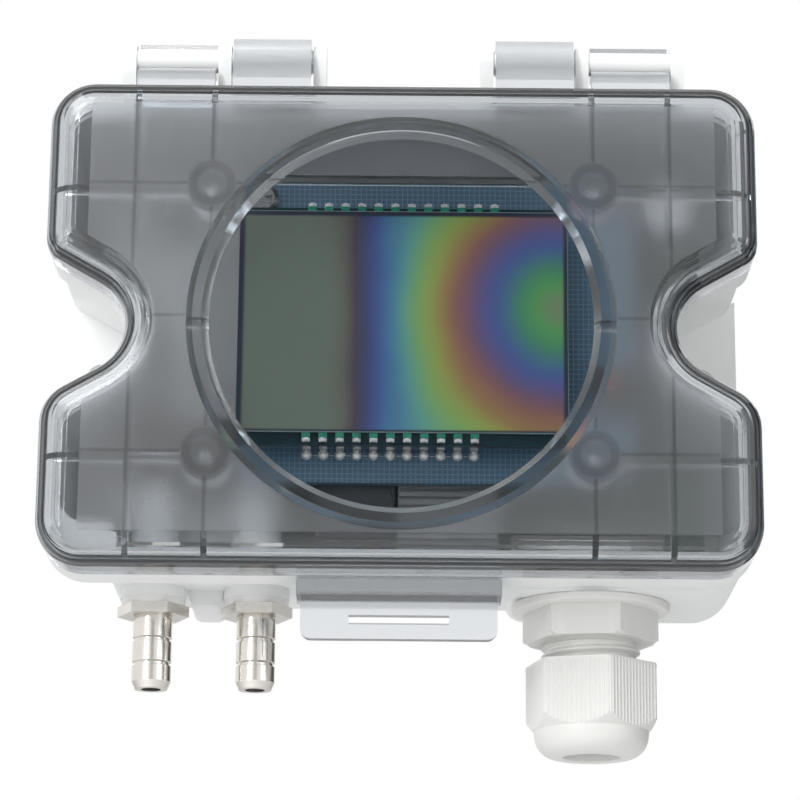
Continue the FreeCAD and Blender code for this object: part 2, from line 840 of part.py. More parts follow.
def board_standoffs():
    """Hexagonal standoffs, screwed through the main board into the posts."""
    body = make_body("board_standoffs")
    places = standoff_places()
    stud_back = MAIN_BACK - d.post_height + 0.5
    stud = d.thread_radius - d.thread_slack / 2
    pad(body, "XZ", MAIN_FRONT, DISPLAY_BACK, [hexagon(d.standoff_across, 0.0, x, z) for x, z in places])
    pad(body, "XZ", stud_back, MAIN_FRONT, circles=[(x, z, stud) for x, z in places])
    bores = [(x, z, d.thread_radius) for x, z in places]
    cut(body, "XZ", DISPLAY_BACK - d.screw_length, DISPLAY_BACK, circles=bores)


def pan_screws(name, places, seat, length):
    """Pan-head screws with a cross slot, seated at `seat` and reaching `length` behind it."""
    body = make_body(name)
    front = seat + d.screw_head_height
    pad(body, "XZ", seat, front, circles=[(x, z, d.screw_head_radius) for x, z in places])
    bevel_front(body, d.screw_head_height * 0.4, front)
    shank = d.thread_radius - d.thread_slack / 2
    pad(body, "XZ", seat - length, seat, circles=[(x, z, shank) for x, z in places])
    reach = d.screw_head_radius * 0.6
    half = Size.of(0.35)
    floor = front - d.screw_head_height * 0.5
    for across, up in ((reach, half), (half, reach)):
        cut(body, "XZ", floor, front, [box_loop(x - across, x + across, z - up, z + up) for x, z in places])


def display_module():
    """The backlight frame and the liquid crystal glass on it."""
    left, right, low, high = display_edges()
    inset = d.backlight_inset
    glass_back = DISPLAY_FRONT + d.backlight_thickness
    backlight = make_body("display_backlight")
    frame = box_loop(left + inset, right - inset, low + inset, high - inset)
    pad(backlight, "XZ", DISPLAY_FRONT, glass_back, [frame])
    glass = make_body("display_glass")
    pad(glass, "XZ", glass_back, glass_back + d.glass_thickness, [box_loop(left, right, low, high)])


def pin_row(name, count, first_x, edge, outward):
    """One row of pins that leave the glass's edge and turn down into the display board."""
    half = d.pin_width / 2
    far = edge + (d.pin_row_gap + d.pin_thickness) * outward
    bend = edge + d.pin_row_gap * outward
    low, high = sorted((edge, far), key=lambda size: size.value)
    foot = sorted((bend, far), key=lambda size: size.value)
    top = DISPLAY_FRONT + d.backlight_thickness + d.glass_thickness / 2
    middles = [first_x + d.pin_pitch * number for number in range(count)]
    body = make_body(name)
    arms = [box_loop(middle - half, middle + half, low, high) for middle in middles]
    pad(body, "XZ", top, top + d.pin_thickness, arms)
    legs = [box_loop(middle - half, middle + half, *foot) for middle in middles]
    pad(body, "XZ", DISPLAY_FRONT, top, legs)


def display_pins():
    _, _, low, high = display_edges()
    pin_row("display_pins_upper", 12, d.glass_x - 5.5 * d.pin_pitch, high, 1)
    pin_row("display_pins_lower", 11, d.glass_x - 5.67 * d.pin_pitch, low, -1)


def terminal_block():
    """A stepped terminal block with a screw well and a wire hole for each way."""
    body = make_body("terminal_block")
    count = SIZES["terminal_count"]
    left, pitch = d.terminal_left, d.terminal_pitch
    right = left + pitch * count
    low = FLOOR_TOP + d.terminal_rise
    top = low + d.terminal_depth
    front = MAIN_FRONT + d.terminal_height
    pad(body, "YZ", left, right, [[
        (-MAIN_FRONT, low),
        (-MAIN_FRONT, top),
        (-front, top),
        (-front, low + d.terminal_step),
        (-(front - d.terminal_step), low),
    ]])
    middle = low + d.terminal_step + (d.terminal_depth - d.terminal_step) / 2
    well_floor = front - d.terminal_step
    ways = [left + pitch * (way + 0.5) for way in range(count)]
    wells = [(x, middle, d.terminal_screw + 0.1) for x in ways]
    cut(body, "XZ", well_floor, front, circles=wells)
    half = d.terminal_hole / 2
    back = MAIN_FRONT + 1.5
    holes = [box_loop(x - half, x + half, -(back + d.terminal_hole), -back) for x in ways]
    cut(body, "XY", low, low + d.terminal_depth / 2, holes)
    return wells, well_floor


def terminal_screws(wells, well_floor):
    body = make_body("terminal_screws")
    top = well_floor + 1.2
    r = d.terminal_screw
    pad(body, "XZ", well_floor, top, circles=[(x, z, r) for x, z, _ in wells])
    slots = [box_loop(x - r * 0.8, x + r * 0.8, z - 0.25, z + 0.25) for x, z, _ in wells]
    cut(body, "XZ", top - 0.6, top, slots)


def board_parts():
    """The power converter, controller chip and capacitor on the main board."""
    converter = make_body("power_converter")
    right = d.terminal_left - d.converter_gap
    low = FLOOR_TOP + d.terminal_rise
    block = box_loop(right - d.converter_width, right, low, low + d.converter_depth)
    pad(converter, "XZ", MAIN_FRONT, MAIN_FRONT + d.converter_height, [block])
    chip = make_body("controller_chip")
    half = d.chip_side / 2
    pad(chip, "XZ", MAIN_FRONT, MAIN_FRONT + d.chip_thickness, [box_loop(-half, half, -half, half)])
    capacitor = make_body("capacitor")
    top = MAIN_FRONT + d.capacitor_height
    place = (HALF_WIDTH - d.capacitor_inset, standoff_places()[1][1])
    pad(capacitor, "XZ", MAIN_FRONT, top, circles=[(*place, d.capacitor_radius)])
    bevel_front(capacitor, Size.of(0.4), top)


def board_link():
    """A pin header on the main board and the socket under the display board that it plugs into."""
    x, z = standoff_places()[2]
    left = x + 6
    right = left + d.pin_pitch * SIZES["header_count"]
    low, high = z - d.pin_pitch / 2, z + d.pin_pitch / 2
    shoulder = MAIN_FRONT + d.header_base
    header = make_body("board_header")
    pad(header, "XZ", MAIN_FRONT, shoulder, [box_loop(left, right, low, high)])
    socket = make_body("board_socket")
    pad(socket, "XZ", shoulder, DISPLAY_BACK, [box_loop(left, right, low, high)])


def range_jumpers():
    """A short pin header with one jumper cap, which sets the pressure range."""
    pitch = d.jumper_pitch
    left, middle_z = board_screw_places()[1]
    left = left + d.screw_head_radius + pitch
    low = middle_z - pitch / 2
    middles = [left + pitch * (way + 0.5) for way in range(SIZES["jumper_count"])]
    shoulder = MAIN_FRONT + d.header_base
    body = make_body("range_header")
    right = left + pitch * SIZES["jumper_count"]
    pad(body, "XZ", MAIN_FRONT, shoulder, [box_loop(left, right, low, low + pitch)])
    half = d.header_pin / 2
    pins = [box_loop(x - half, x + half, middle_z - half, middle_z + half) for x in middles]
    pad(body, "XZ", shoulder, shoulder + 6, pins)
    cap = make_body("range_jumper")
    outside = box_loop(left + 0.15, left + pitch * 2 - 0.15, low, low + pitch)
    wide = half + 0.05
    holes = [box_loop(x - wide, x + wide, middle_z - wide, middle_z + wide) for x in middles[:2]]
    pad(cap, "XZ", shoulder, shoulder + 6.5, [outside, *holes])


def zero_switch():
    """A push switch on the display board, and its button, which sits in a well with its travel below it."""
    x = display_board_edges()[1] - d.switch_inset
    z, half = d.switch_z, d.switch_side / 2
    top = DISPLAY_FRONT + d.switch_height
    floor = top - d.button_seat
    body = make_body("zero_switch")
    pad(body, "XZ", DISPLAY_FRONT, top, [box_loop(x - half, x + half, z - half, z + half)])
    cut(body, "XZ", floor, top, circles=[(x, z, d.button_radius + d.button_play)])
    button = make_body("zero_button")
    start = floor + d.button_travel + 0.05
    pad(button, "XZ", start, top + d.button_rise, circles=[(x, z, d.button_radius)])
    bevel_front(button, Size.of(0.25), top + d.button_rise)


# ---------------------------------------------------------------- pressure side

def hose_nozzle(name, x):
    """A turned nozzle: barbed end below, hexagon, stud through the boss and a small barb inside."""
    body = make_body(name, (x, -d.nozzle_forward, -NOZZLE_FACE))
    barb, hex_low = d.barb_radius, -d.nozzle_hex_height
    tip = hex_low - d.barb_length
    land = d.barb_length / 3
    low_r, width = barb - d.barb_groove, d.barb_groove_width
    stud_top = NOZZLE_FACE + FLOOR_TOP + d.lock_nut_height
    corners = [(d.nozzle_bore, tip), (barb - d.barb_tip * 0.45, tip), (barb, tip + d.barb_tip)]
    for number in (1, 2):
        edge = tip + land * number
        corners += [(barb, edge - width / 2), (low_r, edge - width / 4), (low_r, edge + width / 2),
                    (barb, edge + width)]
    corners += [
        (barb, hex_low - 0.3), (low_r, hex_low - 0.3), (low_r, 0),
        (d.stud_thread_radius, 0), (d.stud_thread_radius, stud_top),
        (d.inner_barb_radius, stud_top), (d.inner_barb_radius, stud_top + d.inner_barb_length),
        (d.nozzle_bore, stud_top + d.inner_barb_length),
    ]
    turn("Revolution", body, corners)
    pad(body, "XY", hex_low, 0, [hexagon(d.nozzle_across, d.nozzle_turn.value)])
    cut(body, "XY", hex_low, 0, circles=[(0, 0, d.nozzle_bore)])
    return body


def nozzle_set(side, x):
    """A nozzle with its outer washer, lock nut and the hose to the sensor."""
    hose_nozzle(f"nozzle_{side}", x)
    place = (x, -d.nozzle_forward, -NOZZLE_FACE)
    stud_hole = d.stud_thread_radius + d.gasket_slack
    washer = make_body(f"nozzle_washer_{side}", place)
    pad(washer, "XY", 0, d.washer_thickness, circles=[(0, 0, d.washer_radius), (0, 0, stud_hole)])
    floor = NOZZLE_FACE + FLOOR_TOP
    nut = make_body(f"nozzle_nut_{side}", place)
    flats = hexagon(d.lock_nut_across, 30.0)
    pad(nut, "XY", floor, floor + d.lock_nut_height, [flats], [(0, 0, stud_hole)])
    hose = make_body(f"sensor_hose_{side}", place)
    start = floor + d.lock_nut_height
    end = floor + d.sensor_rise
    inner = d.inner_barb_radius + d.hose_slack
    pad(hose, "XY", start, end, circles=[(0, 0, inner + d.hose_wall), (0, 0, inner)])


def pressure_sensor():
    """The sensor on the main board, with two ports pointing down at the nozzles."""
    body = make_body("pressure_sensor")
    front = MAIN_FRONT + d.sensor_height
    bottom = FLOOR_TOP + d.sensor_rise
    left, right = NOZZLE_LEFT - d.sensor_margin, NOZZLE_RIGHT + d.sensor_margin
    pad(body, "XZ", MAIN_FRONT, front, [box_loop(left, right, bottom, bottom + d.sensor_length)])
    low = bottom - d.sensor_port_length
    ports = [(x, -d.nozzle_forward, d.inner_barb_radius) for x in NOZZLE_PLACES]
    bores = [(x, -d.nozzle_forward, d.nozzle_bore * 0.6) for x in NOZZLE_PLACES]
    pad(body, "XY", low, bottom, circles=ports)
    cut(body, "XY", low, bottom, circles=bores)
    return body


# ---------------------------------------------------------------- cable gland

PAD_BOTTOM = d.case_bottom + d.gland_pad_drop


def gland_place():
    """The centre of the flange's seat under the gland pad."""
    return (GLAND_X, -d.gland_forward, -PAD_BOTTOM)


def gland_body():
    """Flange, hexagon and two threads, with the cable's bore through them."""
    body = make_body("gland_body", gland_place())
    hex_low = -(d.flange_thickness + d.gland_hex_height)
    end = hex_low - d.thread_shown - d.thread_hidden
    top = PAD_BOTTOM + FLOOR_TOP + d.gland_nut_height + 0.6
    bevel = d.flange_thickness * 0.4
    turn("Revolution", body, [
        (d.gland_bore, end),
        (d.gland_thread - 0.6, end),
        (d.gland_thread, end + 0.6),
        (d.gland_thread, -d.flange_thickness),
        (d.flange_radius - bevel, -d.flange_thickness),
        (d.flange_radius, -d.flange_thickness + bevel),
        (d.flange_radius, 0),
        (d.gland_thread, 0),
        (d.gland_thread, top),
        (d.gland_bore, top),
    ])
    pad(body, "XY", hex_low, -d.flange_thickness, [hexagon(d.gland_across, d.gland_turn.value)])
    cut(body, "XY", hex_low, -d.flange_thickness, circles=[(0, 0, d.gland_bore)])
    return body


def gland_lock_nut():
    body = make_body("gland_lock_nut", gland_place())
    floor = PAD_BOTTOM + FLOOR_TOP
    hole = (0, 0, d.gland_thread + d.gasket_slack)
    pad(body, "XY", floor, floor + d.gland_nut_height, [hexagon(d.gland_nut_across)], [hole])
    return body


def gland_dome_nut():
    """A hexagonal nut with a rounded end and the cable's hole through it."""
    body = make_body("gland_dome_nut", gland_place())
    top = -(d.flange_thickness + d.gland_hex_height + d.thread_shown)
    low = top - d.dome_length
    across = d.dome_corner * math.sqrt(3)
    pad(body, "XY", low, top, [hexagon(across, d.dome_turn.value)])
    outside = d.dome_corner + 1
    turn("Groove", body, [
        (d.dome_end, low - 1),
        (outside, low - 1),
        (outside, top - d.dome_flank + 1.2),
        (d.dome_corner, top - d.dome_flank + 0.6),
        (d.dome_shoulder, top - d.dome_flank - 1.4, Size.of(1.2)),
        (d.dome_shoulder, low + 1.2, Size.of(2.6)),
        (d.dome_end, low),
    ])
    thread = d.gland_thread + d.dome_play
    inside = d.thread_hidden + 0.3
    turn("Groove", body, [
        (0, top),
        (thread, top),
        (thread, top - inside),
        (d.gland_bore + 0.3, top - inside - 2.0),
        (d.gland_bore + 0.3, low + 2.4),
        (d.dome_hole, low + 2.4),
        (d.dome_hole, low),
        (0, low),
    ])
    return body


def gland_seal():
    """The rubber ring that grips the cable, from inside the gland's bore down to the dome."""
    body = make_body("gland_seal", gland_place())
    hex_low = -(d.flange_thickness + d.gland_hex_height)
    low = hex_low - d.thread_shown - d.dome_length + 2.4 + 0.3
    radius = d.gland_bore - d.seal_slack
    pad(body, "XY", low, hex_low, circles=[(0, 0, radius), (0, 0, d.seal_bore)])
    return body


# ---------------------------------------------------------------- the whole part

def build():
    base_housing()
    cover_gasket()
    cover()
    window_mask()
    main_board()
    display_board()
    board_standoffs()
    pan_screws("display_screws", standoff_places(), DISPLAY_FRONT, d.screw_length)
    pan_screws("main_board_screws", board_screw_places(), MAIN_FRONT, d.screw_length)
    display_module()
    display_pins()
    wells, well_floor = terminal_block()
    terminal_screws(wells, well_floor)
    board_parts()
    board_link()
    range_jumpers()
    zero_switch()
    for side, x in zip(("high", "low"), NOZZLE_PLACES):
        nozzle_set(side, x)
    pressure_sensor()
    gland_body()
    gland_lock_nut()
    gland_dome_nut()
    gland_seal()
    for body in bodies.values():
        body.Tip.Refine = True
    doc.recompute()


def check():
    """Stops if a feature failed, a cut removed nothing or a shape is not a valid solid."""
    for feature in doc.Objects:
        if "Invalid" in feature.State or "Error" in feature.State:
            raise RuntimeError(f"{feature.Label} failed: {feature.State}")
        if feature.TypeId in ("PartDesign::Pocket", "PartDesign::Groove"):
            before = feature.BaseFeature.Shape.Volume
            if feature.Shape.Volume > before - 1e-3:
                raise RuntimeError(f"{feature.Label} removes nothing")
    for name, body in bodies.items():
        if body.Shape.isNull() or not body.Shape.isValid() or not body.Shape.Solids:
            raise RuntimeError(f"{name} has no valid solid")


def export():
    os.makedirs("parts", exist_ok=True)
    for name, body in bodies.items():
        body.Shape.exportStep(f"parts/{name}.step")


build()
check()
export()
for label, made in bodies.items():
    print(label, len(made.Shape.Solids), round(made.Shape.Volume, 1))
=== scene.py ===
"""Looks for the differential pressure transmitter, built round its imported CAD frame."""
import json
import math

import bpy
from mathutils import Matrix, Vector


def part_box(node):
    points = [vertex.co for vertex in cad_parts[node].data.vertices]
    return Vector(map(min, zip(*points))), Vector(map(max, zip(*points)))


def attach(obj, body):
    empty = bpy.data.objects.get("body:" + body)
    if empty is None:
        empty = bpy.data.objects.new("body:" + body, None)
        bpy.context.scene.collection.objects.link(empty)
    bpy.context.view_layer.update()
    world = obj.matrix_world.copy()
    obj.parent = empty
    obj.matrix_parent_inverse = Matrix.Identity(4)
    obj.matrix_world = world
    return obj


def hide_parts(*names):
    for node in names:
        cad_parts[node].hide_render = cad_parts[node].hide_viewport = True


MM = 0.001  # the tables below are in millimetres, and the scene is in metres
FACE = -39.97  # the cover's flat front, along Y
WINDOW_RADIUS = 28.5
RING_FOOT = 31.9
FACE_HALF_WIDTH = 46.8
STUD_X, STUD_Z = 28.5, 20.7
OUTER_RIB_X = 40.0
HOOK_FOOT = 38.5
PIN_PITCH = 2.54
UPPER_PINS, LOWER_PINS = 12, 11

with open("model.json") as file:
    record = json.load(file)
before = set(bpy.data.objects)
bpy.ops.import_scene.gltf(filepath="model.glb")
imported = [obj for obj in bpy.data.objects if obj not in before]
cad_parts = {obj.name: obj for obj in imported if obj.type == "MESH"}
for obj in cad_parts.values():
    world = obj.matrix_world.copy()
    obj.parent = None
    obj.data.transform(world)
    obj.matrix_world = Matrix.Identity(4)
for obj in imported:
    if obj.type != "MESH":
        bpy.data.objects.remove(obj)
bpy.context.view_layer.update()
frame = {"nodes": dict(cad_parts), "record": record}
nodes = frame["nodes"]
scene = bpy.context.scene
scene.view_settings.view_transform = "Standard"


# ---------------------------------------------------------------- camera

def make_camera():
    """Looks up at the front from a little below, turned half a degree about its own axis."""
    tilt, roll, distance = math.radians(15.6), math.radians(0.5), 0.443
    target = Vector((-0.0001, -0.030, -0.0096))
    ahead = Vector((0, math.cos(tilt), math.sin(tilt)))
    level = Vector((1, 0, 0))
    rise = Vector((0, -math.sin(tilt), math.cos(tilt)))
    right = level * math.cos(roll) + rise * math.sin(roll)
    up = rise * math.cos(roll) - level * math.sin(roll)
    camera = bpy.data.objects.new("camera", bpy.data.cameras.new("camera"))
    camera.data.sensor_width = 36.0
    camera.data.lens = 132.9
    camera.data.clip_start = 0.01
    camera.matrix_world = Matrix.Translation(target - ahead * distance) @ Matrix(
        (right, up, -ahead)).transposed().to_4x4()
    scene.collection.objects.link(camera)
    scene.camera = camera


# ---------------------------------------------------------------- shader helpers

class Shader:
    """A material's node tree with short calls for the nodes used here."""

    def __init__(self, name, **sockets):
        self.material = bpy.data.materials.new(name)
        self.material.use_nodes = True
        self.tree = self.material.node_tree
        self.nodes = self.tree.nodes
        self.bsdf = self.nodes["Principled BSDF"]
        self.output = self.nodes["Material Output"]
        self.coordinates = self.nodes.new("ShaderNodeTexCoord").outputs["Object"]
        for socket, value in sockets.items():
            self.put(socket.replace("_", " "), value)

    def put(self, socket, value):
        """Sets a socket of the surface shader to a number, a colour or a node's output."""
        self.join(value, self.bsdf.inputs[socket])

    def join(self, value, target):
        if isinstance(value, bpy.types.NodeSocket):
            self.tree.links.new(value, target)
        elif isinstance(value, tuple) and len(value) == 3 and target.type == "RGBA":
            target.default_value = (*value, 1.0)
        else:
            target.default_value = value

    def math(self, operation, a, b=0.0, c=0.0, clamp=False):
        node = self.nodes.new("ShaderNodeMath")
        node.operation = operation
        node.use_clamp = clamp
        for value, target in zip((a, b, c), node.inputs):
            self.join(value, target)
        return node.outputs[0]

    def axes(self):
        """The object coordinates in millimetres, one output an axis."""
        scaled = self.nodes.new("ShaderNodeVectorMath")
        scaled.operation = "SCALE"
        scaled.inputs["Scale"].default_value = 1000.0
        self.join(self.coordinates, scaled.inputs[0])
        split = self.nodes.new("ShaderNodeSeparateXYZ")
        self.join(scaled.outputs[0], split.inputs[0])
        return split.outputs

    def length(self, a, b):
        """The length of a flat vector from its two parts."""
        squares = self.math("ADD", self.math("MULTIPLY", a, a), self.math("MULTIPLY", b, b))
        return self.math("SQRT", squares)

    def noise(self, scale, detail=2.0, vector=None):
        node = self.nodes.new("ShaderNodeTexNoise")
        self.join(vector or self.coordinates, node.inputs["Vector"])
        node.inputs["Scale"].default_value = scale
        node.inputs["Detail"].default_value = detail
        return node.outputs["Fac"]

    def spread(self, value, low, high, to_low, to_high):
        """Maps a value from one range to another, held at its ends."""
        node = self.nodes.new("ShaderNodeMapRange")
        for number, target in zip((value, low, high, to_low, to_high), node.inputs):
            self.join(number, target)
        return node.outputs[0]

    def above(self, value, place, blur):
        """1 where the value is above the place, 0 where it is below, with a soft edge."""
        return self.spread(value, place - blur, place + blur, 0.0, 1.0)

    def below(self, value, place, blur):
        return self.spread(value, place - blur, place + blur, 1.0, 0.0)

    def mix(self, factor, a, b):
        node = self.nodes.new("ShaderNodeMix")
        node.data_type = "RGBA"
        self.join(factor, node.inputs["Factor"])
        self.join(a, node.inputs["A"])
        self.join(b, node.inputs["B"])
        return [socket for socket in node.outputs if socket.type == "RGBA"][0]

    def curve(self, value, stops):
        """Runs a value through straight lines between the stops, each a place and a height."""
        node = self.nodes.new("ShaderNodeValToRGB")
        ramp = node.color_ramp
        while len(ramp.elements) > 1:
            ramp.elements.remove(ramp.elements[-1])
        for number, (place, height) in enumerate(stops):
            element = ramp.elements[0] if number == 0 else ramp.elements.new(place)
            element.position = place
            element.color = (height, height, height, 1.0)
        self.join(value, node.inputs["Fac"])
        return node.outputs["Color"]

    def bump(self, height, strength, distance):
        node = self.nodes.new("ShaderNodeBump")
        node.inputs["Strength"].default_value = strength
        node.inputs["Distance"].default_value = distance
        self.join(height, node.inputs["Height"])
        self.put("Normal", node.outputs["Normal"])


def moulded(name, colour, roughness=0.42, grain=2500.0, depth=0.00002, shade=0.05):
    """Moulded plastic or rubber: a fine grain, and slow changes of tone and gloss."""
    shader = Shader(name)
    cloud = shader.noise(45.0, 3.0)
    darker = tuple(channel * (1 - shade) for channel in colour)
    shader.put("Base Color", shader.mix(cloud, darker, colour))
    shader.put("Roughness", shader.spread(shader.noise(160.0, 4.0), 0.3, 0.7, roughness * 0.88, roughness * 1.12))
    shader.bump(shader.noise(grain, 3.0), 0.35, depth)
    return shader


def metal(name, colour, roughness=0.25, streak=(900.0, 900.0, 9000.0), shine=1.0):
    """Plated or turned metal with fine streaks round it."""
    shader = Shader(name, Metallic=shine)
    stretch = shader.nodes.new("ShaderNodeMapping")
    stretch.inputs["Scale"].default_value = streak
    shader.join(shader.coordinates, stretch.inputs["Vector"])
    lines = shader.noise(1.0, 2.0, vector=stretch.outputs[0])
    dull = tuple(channel * 0.86 for channel in colour)
    shader.put("Base Color", shader.mix(shader.noise(300.0, 3.0), dull, colour))
    shader.put("Roughness", shader.spread(lines, 0.3, 0.7, roughness * 0.7, roughness * 1.3))
    shader.bump(lines, 0.15, 0.00001)
    return shader


# ---------------------------------------------------------------- materials

def painted_rib_shade(shader, x, z):
    """Painted shade: darker lines where the face's ribs and the rims of its studs lie behind it, 1 on them, 0 off
    them.
    """
    shift = 0.4  # the ribs lie behind the face, so the painted shade over them sits a little higher than they do
    half_line, line_blur, line_shade = 0.25, 0.09, 0.8
    across, upward = shader.math("ABSOLUTE", x), shader.math("ABSOLUTE", shader.math("SUBTRACT", z, shift))
    ribs = None
    for value, place in ((across, STUD_X), (across, OUTER_RIB_X), (upward, STUD_Z), (upward, 0.0)):
        off = shader.math("ABSOLUTE", shader.math("SUBTRACT", value, place))
        line = shader.spread(off, half_line - line_blur, half_line + line_blur, line_shade, 0.0)
        ribs = line if ribs is None else shader.math("MAXIMUM", ribs, line)
    stud = shader.length(shader.math("SUBTRACT", across, STUD_X), shader.math("SUBTRACT", upward, STUD_Z))
    past_stud = shader.above(stud, 3.65, 0.15)
    rim = shader.math("MULTIPLY", shader.above(stud, 2.2, 0.3), shader.below(stud, 3.55, 0.25))
    rim_shade = 0.75
    return shader.math("MAXIMUM", shader.math("MULTIPLY", ribs, past_stud),
                       shader.math("MULTIPLY", rim, rim_shade))


def smoky_cover():
    """Plastic smoked in its depth: frosted on the face, polished in the window and at the edges; the frosted face
    carries painted shade in its tint and over its ribs.
    """
    shader = Shader("smoky_cover", IOR=1.5)
    x, y, z = shader.axes()
    radius = shader.length(x, z)
    face = shader.math("MULTIPLY", shader.below(y, FACE, 0.02), shader.above(radius, RING_FOOT, 0.1))
    half_width = shader.math("ABSOLUTE", x)
    frosted = shader.math("MULTIPLY", face, shader.below(half_width, FACE_HALF_WIDTH, 0.1))
    ring = shader.math("MULTIPLY", shader.above(radius, WINDOW_RADIUS, 0.1), shader.below(radius, RING_FOOT, 0.1))
    ring = shader.math("MULTIPLY", ring, shader.below(y, -39.4, 0.1))
    grain = shader.noise(2600.0)
    matt = shader.spread(grain, 0.25, 0.75, 0.26, 0.34)
    window_gloss, edge_gloss, ring_dulling = 0.02, 0.10, 0.15
    gloss = shader.spread(radius, WINDOW_RADIUS - 0.5, WINDOW_RADIUS - 0.1, window_gloss, edge_gloss)
    gloss = shader.math("MULTIPLY_ADD", ring, ring_dulling, gloss)
    shader.put("Roughness", shader.math("MULTIPLY_ADD", frosted, matt, gloss))
    face_haze, hook_haze = 0.045, 0.28
    hooks = shader.above(z, HOOK_FOOT, 0.1)
    haze = shader.math("MAXIMUM", shader.math("MULTIPLY", frosted, face_haze),
                       shader.math("MULTIPLY", hooks, hook_haze))
    shader.put("Transmission Weight", shader.math("SUBTRACT", 1.0, haze))
    # painted shade: the frosted face is tinted darker than the window, standing in for the dark interior seen
    # through it
    clear, shaded_frost_colour, rib_shade_colour = (0.95, 0.965, 0.98), (0.80, 0.83, 0.865), (0.40, 0.42, 0.45)
    # painted shade: darker lines on the frosted face over the ribs and stud rims behind it
    rib_shade_mask = shader.math("MULTIPLY", frosted, painted_rib_shade(shader, x, z))
    shader.put("Base Color", shader.mix(frosted, clear, shader.mix(rib_shade_mask, shaded_frost_colour, rib_shade_colour)))
    speck = shader.spread(shader.noise(900.0, 1.0), 0.66, 0.72, 0.0, 1.0)
    shader.bump(shader.math("MULTIPLY", shader.math("ADD", grain, speck), frosted), 0.3, 0.00004)
    depth = shader.nodes.new("ShaderNodeVolumeAbsorption")
    depth.inputs["Color"].default_value = (0.20, 0.245, 0.285, 1.0)
    depth.inputs["Density"].default_value = 120.0
    shader.join(depth.outputs[0], shader.output.inputs["Volume"])
    return shader


def interference(shader, order):
    """Interference colours of a film: each channel swings with its own wavelength and fades at higher orders."""
    plain, spot, zero_order, sharpness = (0.205, 0.25, 0.205), (0.30, 0.317, 0.256), -0.256, -0.376
    waves = ((0.551, 0.204, 0.182, 0.085), (0.489, 0.26, 0.298, 0.571), (0.415, 0.224, 0.223, 0.463))
    film = shader.nodes.new("ShaderNodeCombineColor")
    for (wavelength, middle, swing, fading), channel in zip(waves, film.inputs):
        angle = shader.math("MULTIPLY", shader.math("SUBTRACT", order, zero_order), 2 * math.pi / wavelength)
        cosine = shader.math("COSINE", angle)
        fringe = shader.math("MULTIPLY", cosine, shader.math("MULTIPLY_ADD", cosine, sharpness, 1.0))
        wave = shader.math("MULTIPLY", fringe, shader.math("MULTIPLY_ADD", order, -fading, 1.0))
        shader.join(shader.math("MULTIPLY_ADD", wave, -swing, middle), channel)
    rings = shader.mix(shader.spread(order, 0.15, 0.22, 0.0, 1.0), plain, film.outputs[0])
    return shader.mix(shader.spread(order, 0.95, 1.0, 0.0, 1.0), rings, spot)


def display_face():
    """Liquid crystal glass: dark rim, and colour fringes that swing round a spot near the right edge."""
    shader = Shader("display_face", Roughness=0.12)
    x, y, z = shader.axes()
    low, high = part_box("display_glass")
    left, right, bottom, top = (value * 1000 for value in (low.x, high.x, low.z, high.z))
    u = shader.spread(x, left + 0.9, right - 0.6, 0.0, 1.0)
    v = shader.spread(z, bottom + 0.3, top - 0.6, 0.0, 1.0)
    away = shader.math("SUBTRACT", v, 0.5)
    bend = shader.math("MULTIPLY", away, away)
    bend = shader.math("MULTIPLY", bend, shader.math("SUBTRACT", u, 0.45, clamp=True))
    along = shader.math("MULTIPLY_ADD", bend, -2.0, u)
    thickness = shader.curve(along, [
        (0.0, 0.04), (0.18, 0.15), (0.32, 0.32), (0.40, 0.50), (0.54, 0.75), (0.66, 0.92), (1.0, 1.0),
    ])
    spot_u, spot_v, narrow, low_wide, spot_height = 0.97, 0.56, 4.0, 2.5, 0.62
    across = shader.math("MULTIPLY", shader.math("SUBTRACT", u, spot_u), narrow)
    upward = shader.math("MULTIPLY", shader.math("SUBTRACT", v, spot_v), low_wide)
    reach = shader.math("ADD", shader.math("MULTIPLY", across, across), shader.math("MULTIPLY", upward, upward))
    fall = shader.math("EXPONENT", shader.math("MULTIPLY", reach, -1.0))
    spot = shader.math("MULTIPLY", fall, spot_height)
    cloud = shader.math("MULTIPLY", shader.math("SUBTRACT", shader.noise(55.0), 0.5), 0.13)
    order = shader.math("MULTIPLY", shader.math("ADD", shader.math("ADD", thickness, spot), cloud), 0.6)
    inside = shader.math("MULTIPLY", shader.above(x, left + 0.85, 0.25), shader.below(x, right - 0.6, 0.2))
    inside = shader.math("MULTIPLY", inside, shader.below(z, top - 0.7, 0.2))
    inside = shader.math("MULTIPLY", inside, shader.above(z, bottom + 0.25, 0.15))
    front = shader.below(y, -27.925, 0.025)
    rim = (0.045, 0.055, 0.085)
    fringes = interference(shader, order)
    shader.put("Base Color", shader.mix(shader.math("MULTIPLY", inside, front), rim, fringes))
    return shader


def circuit_board(name, colour, pitch, pale_left=None):
    """Solder resist over hatched copper, printed pale to the left of `pale_left` where that is given."""
    shader = Shader(name, Roughness=0.28)
    x, _, z = shader.axes()
    lines = [shader.below(shader.math("PINGPONG", axis, pitch / 2), 0.08, 0.02) for axis in (x, z)]
    hatch = shader.math("MAXIMUM", *lines)
    copper = tuple(channel * 1.5 + 0.02 for channel in colour)
    resist = shader.mix(hatch, colour, copper)
    if pale_left is not None:
        resist = shader.mix(shader.above(x, pale_left + 0.05, 0.05), (0.58, 0.59, 0.59), resist)
    shader.put("Base Color", resist)
    shader.bump(hatch, 0.4, 0.00003)
    return shader


